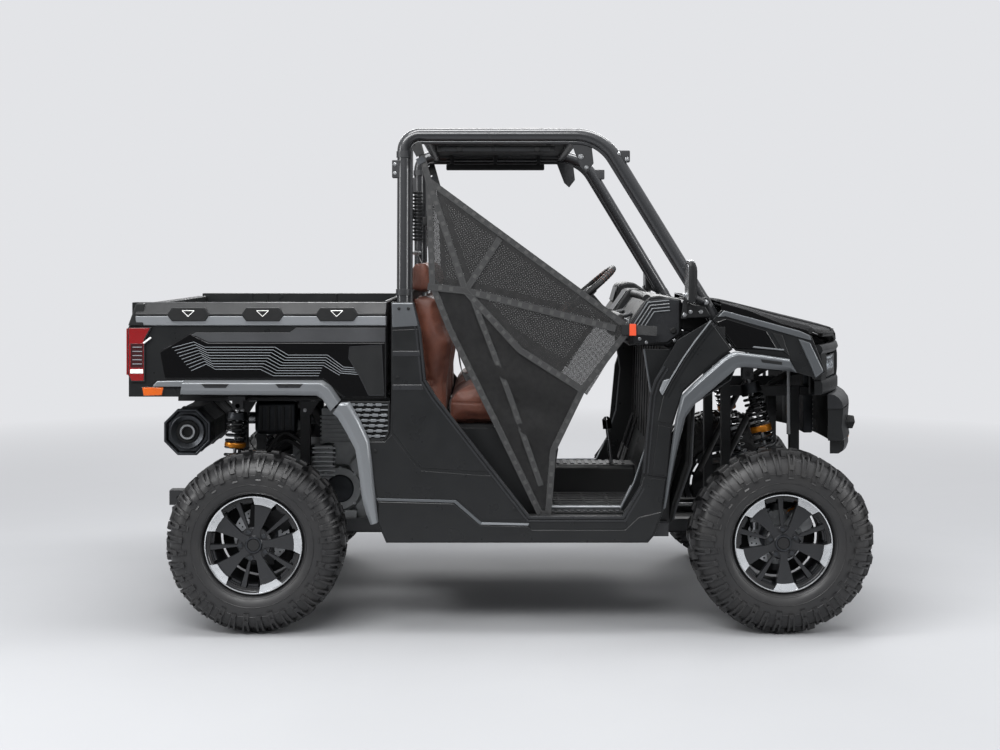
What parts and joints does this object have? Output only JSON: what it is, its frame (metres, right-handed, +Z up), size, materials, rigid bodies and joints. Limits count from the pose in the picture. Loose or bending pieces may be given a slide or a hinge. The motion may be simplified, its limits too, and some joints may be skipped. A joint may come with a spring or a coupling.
{
  "type": "side by side utility vehicle",
  "caption": "Open two-door side by side utility vehicle with a roll cage, side nets, a bench seat and a tilting cargo bed.",
  "frame": {"origin": "middle of the footprint of the whole vehicle, on the ground below the four tyres", "axes": "+X forward along the length, +Y to the left side, +Z up"},
  "size_m": [2.89, 1.61, 1.938],
  "materials": {
    "frame_steel": "satin powder coat",
    "engine_metal": "rough cast",
    "cage_steel": "satin powder coat",
    "dark_plastic": "fine moulded grain",
    "gloss_paint": "gloss black",
    "grey_plastic": "satin",
    "seat_leather": "brown grained leather",
    "lamp_clear": "clear lens over reflector",
    "lamp_red": "red lens",
    "net_fabric": "black woven net and webbing",
    "shock_metal": "black spring with orange coupler",
    "tyre_rubber": "matte rubber",
    "rim_metal": "satin black with machined edges"
  },
  "bodies": {
    "chassis": {"frame": "frame_steel", "skid_plate": "frame_steel", "engine": "engine_metal", "drivetrain": "engine_metal", "muffler": "engine_metal", "cage_right": "cage_steel", "cage_left": "cage_steel", "cage_cross_tubes": "cage_steel", "roof_panel": "dark_plastic", "cabin_tub": "dark_plastic", "seat_base": "dark_plastic", "seat_cushions": "seat_leather", "seat_backs": "seat_leather", "dashboard": "dark_plastic", "steering_column": "dark_plastic", "side_panel_right": "dark_plastic", "side_panel_left": "dark_plastic", "side_vents": "dark_plastic", "fender_right": "dark_plastic", "fender_left": "dark_plastic", "front_flares": "grey_plastic", "rear_flares": "grey_plastic", "quarter_panels": "gloss_paint", "wheelhouse_liners": "dark_plastic", "fascia": "dark_plastic", "grille": "dark_plastic", "headlamps": "lamp_clear", "bumper": "dark_plastic", "cowl": "dark_plastic", "mirrors": "dark_plastic", "net_right": "net_fabric", "net_left": "net_fabric", "front_arms": "frame_steel", "rear_arms": "frame_steel", "shock_absorbers": "shock_metal", "rack_housing": "frame_steel"},
    "bed": {"bed_tub": "dark_plastic", "bed_side_right": "dark_plastic", "bed_side_left": "dark_plastic", "bed_gloss_panels": "gloss_paint", "bed_flares": "grey_plastic", "tail_lamps": "lamp_red"},
    "tailgate": {"tailgate": "dark_plastic"},
    "hood": {"hood": "gloss_paint"},
    "knuckle_right": {"knuckle_right": "engine_metal"},
    "knuckle_left": {"knuckle_left": "engine_metal"},
    "steering_wheel": {"steering_wheel": "dark_plastic"},
    "steering_rack": {"steering_rack": "engine_metal"},
    "wheel_front_right": {"tyre_front_right": "tyre_rubber", "rim_front_right": "rim_metal"},
    "wheel_front_left": {"tyre_front_left": "tyre_rubber", "rim_front_left": "rim_metal"},
    "wheel_rear_right": {"tyre_rear_right": "tyre_rubber", "rim_rear_right": "rim_metal"},
    "wheel_rear_left": {"tyre_rear_left": "tyre_rubber", "rim_rear_left": "rim_metal"}
  },
  "joints": [
    {"name": "bed_tilt", "type": "hinge", "parent": "chassis", "child": "bed", "pos_m": [-1.33, 0, 0.9], "axis": [0, -1, 0], "range_deg": [0, 45]},
    {"name": "tailgate_open", "type": "hinge", "parent": "bed", "child": "tailgate", "pos_m": [-1.433, 0, 0.926], "axis": [0, -1, 0], "range_deg": [0, 90]},
    {"name": "hood_open", "type": "hinge", "parent": "chassis", "child": "hood", "pos_m": [0.818, 0, 1.246], "axis": [0, -1, 0], "range_deg": [0, 50]},
    {"name": "steer_right", "type": "hinge", "parent": "chassis", "child": "knuckle_right", "pos_m": [1.059, -0.63, 0.35], "axis": [0, 0, 1], "range_deg": [-30, 30]},
    {"name": "steer_left", "type": "hinge", "parent": "chassis", "child": "knuckle_left", "pos_m": [1.059, 0.63, 0.35], "axis": [0, 0, 1], "range_deg": [-30, 30]},
    {"name": "rack_slide", "type": "slide", "parent": "chassis", "child": "steering_rack", "axis": [0, -1, 0], "range_m": [-0.0425, 0.0425]},
    {"name": "steering_wheel_turn", "type": "hinge", "parent": "chassis", "child": "steering_wheel", "pos_m": [0.378, 0.35, 1.27], "axis": [0.6561, 0, -0.7547], "range_deg": [-270, 270]},
    {"name": "roll_front_right", "type": "hinge", "parent": "knuckle_right", "child": "wheel_front_right", "pos_m": [1.059, -0.69, 0.35], "axis": [0, 1, 0], "continuous": true},
    {"name": "roll_front_left", "type": "hinge", "parent": "knuckle_left", "child": "wheel_front_left", "pos_m": [1.059, 0.69, 0.35], "axis": [0, 1, 0], "continuous": true},
    {"name": "roll_rear_right", "type": "hinge", "parent": "chassis", "child": "wheel_rear_right", "pos_m": [-0.953, -0.665, 0.343], "axis": [0, 1, 0], "continuous": true},
    {"name": "roll_rear_left", "type": "hinge", "parent": "chassis", "child": "wheel_rear_left", "pos_m": [-0.953, 0.665, 0.343], "axis": [0, 1, 0], "continuous": true}
  ],
  "couplings": [
    {"joint": "steer_left", "follows": "steer_right", "ratio": 1},
    {"joint": "rack_slide", "follows": "steer_right", "m_per_rad": 0.081159},
    {"joint": "steering_wheel_turn", "follows": "steer_right", "ratio": -9}
  ]
}
